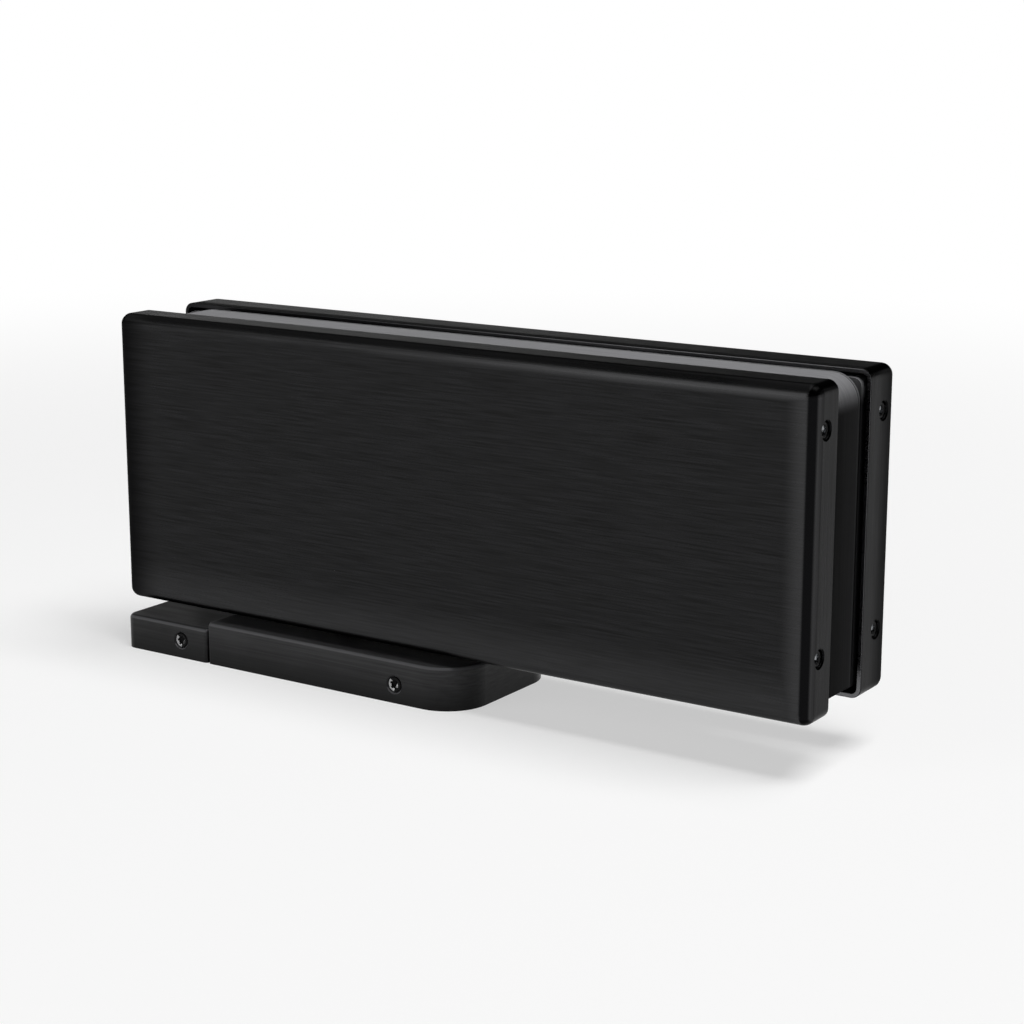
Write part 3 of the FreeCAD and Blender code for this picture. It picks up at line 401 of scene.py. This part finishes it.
finishes = {
    "black_brushed_cover": black_brushed_steel(),
    "black_satin_hood": black_satin_coat(),
    "cast_body": black_casting_lit_top(
        "black_casting_lit_top", coat_dark="#010101", coat_light="#161617",
        lit_top_dark="#7c7c7e", lit_top_light="#8f8f91"),
    "clamp_metal": black_casting_lit_top(
        "black_clamp_lit_top", coat_dark="#040405", coat_light="#141415",
        lit_top_dark="#76767a", lit_top_light="#88888a"),
    # Pressed fibre: black and pitted, with painted light making its upper edge grey
    "gasket": black_casting_lit_top(
        "black_fibre_gasket", coat_dark="#040405", coat_light="#1d1d1e",
        lit_top_dark="#6c6c6e", lit_top_light="#808082"),
    # Blackened steel: near black, slightly oily, with a fine grain
    "black_screw": grained_finish(
        "black_oxide_steel", "#070708", "#111112", grain_mm=(0.3, 0.3, 0.3),
        roughness=(0.3, 0.45), relief_mm=0.02, metallic=0.0, specular=0.08),
    # Bright smooth steel: the painted glint on one fixed side of the floor screws' ends
    "burnished": grained_finish(
        "glint_steel", "#8f8f90", "#acacad", grain_mm=(0.5, 0.5, 0.5),
        roughness=(0.2, 0.3), relief_mm=0.01),
    # Zinc plated steel: bright and slightly cloudy
    "plain_screw": grained_finish(
        "zinc_plated_screw", "#8d9093", "#b4b6b8", grain_mm=(0.8, 0.8, 0.8),
        roughness=(0.2, 0.34), relief_mm=0.01),
    # Zinc plated plate: rolled lines under a bright, cloudy coat
    "zinc_plate": grained_finish(
        "zinc_plated_plate", "#85888c", "#aaacaf", grain_mm=(20, 1.2, 1.2),
        roughness=(0.26, 0.4), relief_mm=0.02),
    # Ground steel: bright, with fine marks round an upright axis
    "ground_steel": grained_finish(
        "ground_steel", "#8b8b8c", "#adadae", grain_mm=(6, 6, 0.25),
        roughness=(0.16, 0.3), relief_mm=0.01),
    # Oiled spring steel: dark and smooth
    "spring_steel": grained_finish(
        "oiled_spring_steel", "#404145", "#5b5c60", grain_mm=(3, 3, 3),
        roughness=(0.25, 0.38), relief_mm=0.01),
    # Sintered bronze: warm and porous
    "bronze": grained_finish(
        "sintered_bronze", "#8a6332", "#b3864b", grain_mm=(0.25, 0.25, 0.25),
        roughness=(0.38, 0.55), relief_mm=0.03),
    # Turned and plated steel: bright, with fine tool marks round a lengthwise axis
    "turned_plug": grained_finish(
        "turned_plated_steel", "#898b8e", "#a9abad", grain_mm=(0.3, 6, 6),
        roughness=(0.2, 0.34), relief_mm=0.01),
    # Nitrile rubber: black and matt
    "seal_rubber": grained_finish(
        "nitrile_rubber", "#0b0b0c", "#151516", grain_mm=(0.4, 0.4, 0.4),
        roughness=(0.55, 0.7), relief_mm=0.02, metallic=0.0, specular=0.3),
}
slot_of = {part["node"]: part["material_slot"] for part in frame["record"]["subparts"]}
body_of = {node: body for body, names in frame["record"]["behaviour"]["bodies"].items() for node in names}
for node, slot in slot_of.items():
    surfaces = nodes[node].data.materials
    surfaces.clear()
    surfaces.append(finishes[slot])


# Grub screws

def screw_form(radius, length, turn):
    """Headless screw that points up, its outer end at the origin, to be turned about its axis later: a
    domed rim, a hexagon socket and a thread. Its surfaces are 0 coated, 1 socket and 2 a sector on one
    fixed side of the end, whose finish paints a glint."""
    form = bmesh.new()
    mouth = bmesh.ops.create_circle(form, segments=6, radius=GRUB_SOCKET / math.sqrt(3))["verts"]
    bmesh.ops.translate(form, vec=(0, 0, SOCKET_MOUTH * radius), verts=mouth)
    bmesh.ops.subdivide_edges(form, edges=form.edges[:], cuts=SCREW_SIDES // 6 - 1)
    hexagon = form.edges[:]

    share, height = SCREW_FACE
    ring = bmesh.ops.create_circle(form, segments=SCREW_SIDES, radius=share * radius)["verts"]
    bmesh.ops.translate(form, vec=(0, 0, height * radius), verts=ring)
    rim = [edge for edge in form.edges if edge not in hexagon]
    bmesh.ops.bridge_loops(form, edges=hexagon + rim)

    def drawn(edges, grow, drop):
        """The loop's copy, grown and lowered, with a wall of faces between."""
        made = bmesh.ops.extrude_edge_only(form, edges=edges)["geom"]
        points = [item for item in made if isinstance(item, bmesh.types.BMVert)]
        bmesh.ops.scale(form, vec=(grow, grow, 1), verts=points)
        bmesh.ops.translate(form, vec=(0, 0, -drop), verts=points)
        return [item for item in made if isinstance(item, bmesh.types.BMEdge)
                and all(point in points for point in item.verts)]

    walls = drawn(hexagon, 1.0, GRUB_SOCKET_DEPTH)
    bottom = drawn(walls, GRUB_DRILL_END, GRUB_DRILL_POINT)
    bmesh.ops.edgeloop_fill(form, edges=bottom)
    for face in form.faces:
        if face.calc_center_median().z < SOCKET_BELOW * radius:
            face.material_index = 1

    for next_share, next_height in SCREW_RIM:
        rim = drawn(rim, next_share / share, (height - next_height) * radius)
        share, height = next_share, next_height
    # Painted glint: faces on one fixed side of the end, the same on every screw however it is turned, take
    # surface 2
    for face in form.faces:
        centre = face.calc_center_median()
        in_socket = face.material_index == 1
        side = GLINT_SOCKET_SIDE if in_socket else GLINT_RIM_SIDE
        start = GLINT_SOCKET_FROM if in_socket else GLINT_RIM_FROM
        outside = math.hypot(centre.x, centre.y) > start * radius
        around = math.atan2(centre.y, centre.x) + turn
        if outside and math.cos(around - side) > math.cos(GLINT_REACH):
            face.material_index = 2

    thread = length - GRUB_TIP + height * radius
    rows = round(thread / THREAD_PITCH * THREAD_ROWS)
    for row in range(rows):
        rim = drawn(rim, 1.0, thread / rows)
    tip = drawn(rim, 1 - GRUB_TIP / radius, GRUB_TIP)
    bmesh.ops.edgeloop_fill(form, edges=tip)
    for point in form.verts:
        if math.hypot(point.co.x, point.co.y) > THREAD_FROM * radius:
            angle = math.atan2(point.co.y, point.co.x) / math.tau
            phase = (point.co.z / THREAD_PITCH - angle) % 1.0
            started = min(1.0, -point.co.z / THREAD_PITCH)
            shrink = 1 - THREAD_DEPTH / radius * started * abs(2 * phase - 1)
            point.co.x *= shrink
            point.co.y *= shrink
    return form


def screws(node, ends, radius, length, surfaces):
    """All the screws of a node, each given by the place of its outer end and its outward direction."""
    whole = bpy.data.meshes.new(node)
    together = bmesh.new()
    for number, (place, outward) in enumerate(ends):
        turn = number * SCREW_TURN
        form = screw_form(radius, length, turn)
        turned = Matrix.Rotation(turn, 4, "Z")
        aimed = Vector((0, 0, 1)).rotation_difference(outward).to_matrix().to_4x4()
        form.transform(Matrix.Translation(place) @ aimed @ turned)
        form.to_mesh(whole)
        form.free()
        together.from_mesh(whole)
    bmesh.ops.recalc_face_normals(together, faces=together.faces)
    for face in together.faces:
        face.smooth = True
    together.to_mesh(whole)
    together.free()
    whole.set_sharp_from_angle(angle=SHARP_ANGLE)
    for surface in surfaces:
        whole.materials.append(finishes[surface])
    piece = bpy.data.objects.new(node + "_threaded", whole)
    bpy.context.scene.collection.objects.link(piece)
    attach(piece, body_of[node])
    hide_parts(node)


ALONG = Vector((1, 0, 0))
ACROSS = Vector((0, 1, 0))
for node in ("front_cover_screws", "rear_cover_screws"):
    low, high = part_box(node)
    radius = (high.y - low.y) / 2
    ends = [(Vector((x, low.y + radius, z)), outward)
            for x, outward in ((low.x, -ALONG), (high.x, ALONG))
            for z in (low.z + radius, high.z - radius)]
    # Painted glint: a bright socket with a dark sector on one fixed side
    screws(node, ends, radius, GRUB_LENGTH, ("black_screw", "turned_plug", "black_screw"))
low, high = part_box("floor_cover_screws")
radius = (high.z - low.z) / 2
ends = [(Vector((x, y, low.z + radius)), outward)
        for y, outward in ((low.y, -ACROSS), (high.y, ACROSS))
        for x in (low.x + radius, high.x - radius)]
# Painted glint: a bright sector on one fixed side of each screw's end
screws("floor_cover_screws", ends, radius, FLOOR_GRUB_LENGTH, ("black_screw", "black_screw", "burnished"))


# Return spring

def return_spring():
    """The coil as one mesh with its close points merged; it stays fixed and stands in for its CAD node."""
    mesh = bpy.data.meshes.new("return_spring_coil")
    form = bmesh.new()
    form.from_mesh(nodes["return_spring"].data)
    bmesh.ops.remove_doubles(form, verts=form.verts, dist=MERGE_GAP)
    form.to_mesh(mesh)
    form.free()
    mesh.materials.clear()
    mesh.materials.append(finishes[slot_of["return_spring"]])
    piece = bpy.data.objects.new("return_spring_coil", mesh)
    bpy.context.scene.collection.objects.link(piece)
    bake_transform(piece)
    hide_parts("return_spring")


return_spring()


# Studio

def white_floor():
    """Paper sweep: it takes the object's shadow, and turns pure white away from the object.
    Only what the eye and gloss see of it turns white, so that it throws no more light on the object."""
    made, tree = new_finish("white_paper_floor")
    place = add(tree, "TexCoord")
    ray = add(tree, "LightPath")
    mirrored = add(tree, "Math", LARGER,
                   {0: ray.outputs["Is Glossy Ray"], 1: ray.outputs["Is Transmission Ray"]})
    seen = add(tree, "Math", LARGER, {0: ray.outputs["Is Camera Ray"], 1: mirrored.outputs[0]})
    distance = add(tree, "VectorMath", {"operation": "LENGTH"}, {0: place.outputs["Object"]})
    glow = add(tree, "MapRange", SMOOTH, {
        "Value": distance.outputs["Value"], "From Min": FLOOR_NEAR, "From Max": FLOOR_FAR,
        "To Min": FLOOR_GLOW[0], "To Max": FLOOR_GLOW[1]})
    share = add(tree, "Math", TIMES, {0: glow.outputs[0], 1: seen.outputs[0]})
    paper = add(tree, "BsdfDiffuse", {}, {"Color": linear("#fcfcfc")})
    white = add(tree, "Emission", {}, {"Color": linear("#ffffff"), "Strength": 1.0})
    both = add(tree, "MixShader", {}, {0: share.outputs[0], 1: paper.outputs[0], 2: white.outputs[0]})
    add(tree, "OutputMaterial", {}, {"Surface": both.outputs[0]})

    mesh = bpy.data.meshes.new("floor")
    form = bmesh.new()
    bmesh.ops.create_circle(form, cap_ends=True, segments=FLOOR_SIDES, radius=FLOOR_RADIUS)
    edge = bmesh.ops.extrude_edge_only(form, edges=form.edges[:])["geom"]
    bmesh.ops.translate(form, vec=(0, 0, FLOOR_RISE),
                        verts=[item for item in edge if isinstance(item, bmesh.types.BMVert)])
    form.to_mesh(mesh)
    form.free()
    mesh.materials.append(made)
    floor = bpy.data.objects.new("floor", mesh)
    bpy.context.scene.collection.objects.link(floor)


def studio_world():
    """A dim room over the paper, lighter low down on the left."""
    world = bpy.data.worlds.new("studio")
    bpy.context.scene.world = world
    world.use_nodes = True
    tree = world.node_tree
    tree.nodes.clear()
    place = add(tree, "TexCoord")
    direction = add(tree, "SeparateXYZ", {}, {"Vector": place.outputs["Generated"]})
    side = add(tree, "MapRange", SMOOTH, {
        "Value": direction.outputs["X"], "From Min": ROOM_LEFT[0], "From Max": ROOM_LEFT[1],
        "To Min": ROOM_LEVEL[0], "To Max": ROOM_LEVEL[1]})
    rise = add(tree, "MapRange", SMOOTH, {
        "Value": direction.outputs["Z"], "From Min": ROOM_RISE[0], "From Max": ROOM_RISE[1],
        "To Min": 1.0, "To Max": ROOM_ABOVE})
    level = add(tree, "Math", TIMES, {0: side.outputs[0], 1: rise.outputs[0]})
    light = add(tree, "Background", {}, {"Color": linear("#ffffff"), "Strength": level.outputs[0]})
    add(tree, "OutputWorld", {}, {"Surface": light.outputs[0]})


def softbox(name, place, size, power):
    """A rectangular lamp that is aimed at the hinge."""
    data = bpy.data.lights.new(name, "AREA")
    data.shape = "RECTANGLE"
    data.size, data.size_y = size
    data.energy = power
    lamp = bpy.data.objects.new(name, data)
    lamp.location = place
    lamp.rotation_euler = (LAMP_AIM - Vector(place)).to_track_quat("-Z", "Y").to_euler()
    bpy.context.scene.collection.objects.link(lamp)


def photo_camera():
    """The camera at the photograph's angle."""
    turn = math.radians(CAMERA_AZIMUTH)
    rise = math.radians(CAMERA_ELEVATION)
    back = Vector((math.sin(turn) * math.cos(rise), -math.cos(turn) * math.cos(rise), math.sin(rise)))
    data = bpy.data.cameras.new("photo_camera")
    data.sensor_width = SENSOR_WIDTH
    data.lens = CAMERA_LENS
    camera = bpy.data.objects.new("photo_camera", data)
    camera.location = CAMERA_TARGET + back * CAMERA_DISTANCE
    camera.rotation_euler = (-back).to_track_quat("-Z", "Y").to_euler()
    bpy.context.scene.collection.objects.link(camera)
    bpy.context.scene.camera = camera


white_floor()
studio_world()
softbox("overhead", (0.7, 0.1, 2.0), size=(1.1, 1.1), power=39.0)
softbox("front_left", (-0.44, -0.82, 0.4), size=(0.6, 0.55), power=1.6)
photo_camera()
bpy.context.scene.view_settings.view_transform = "Standard"
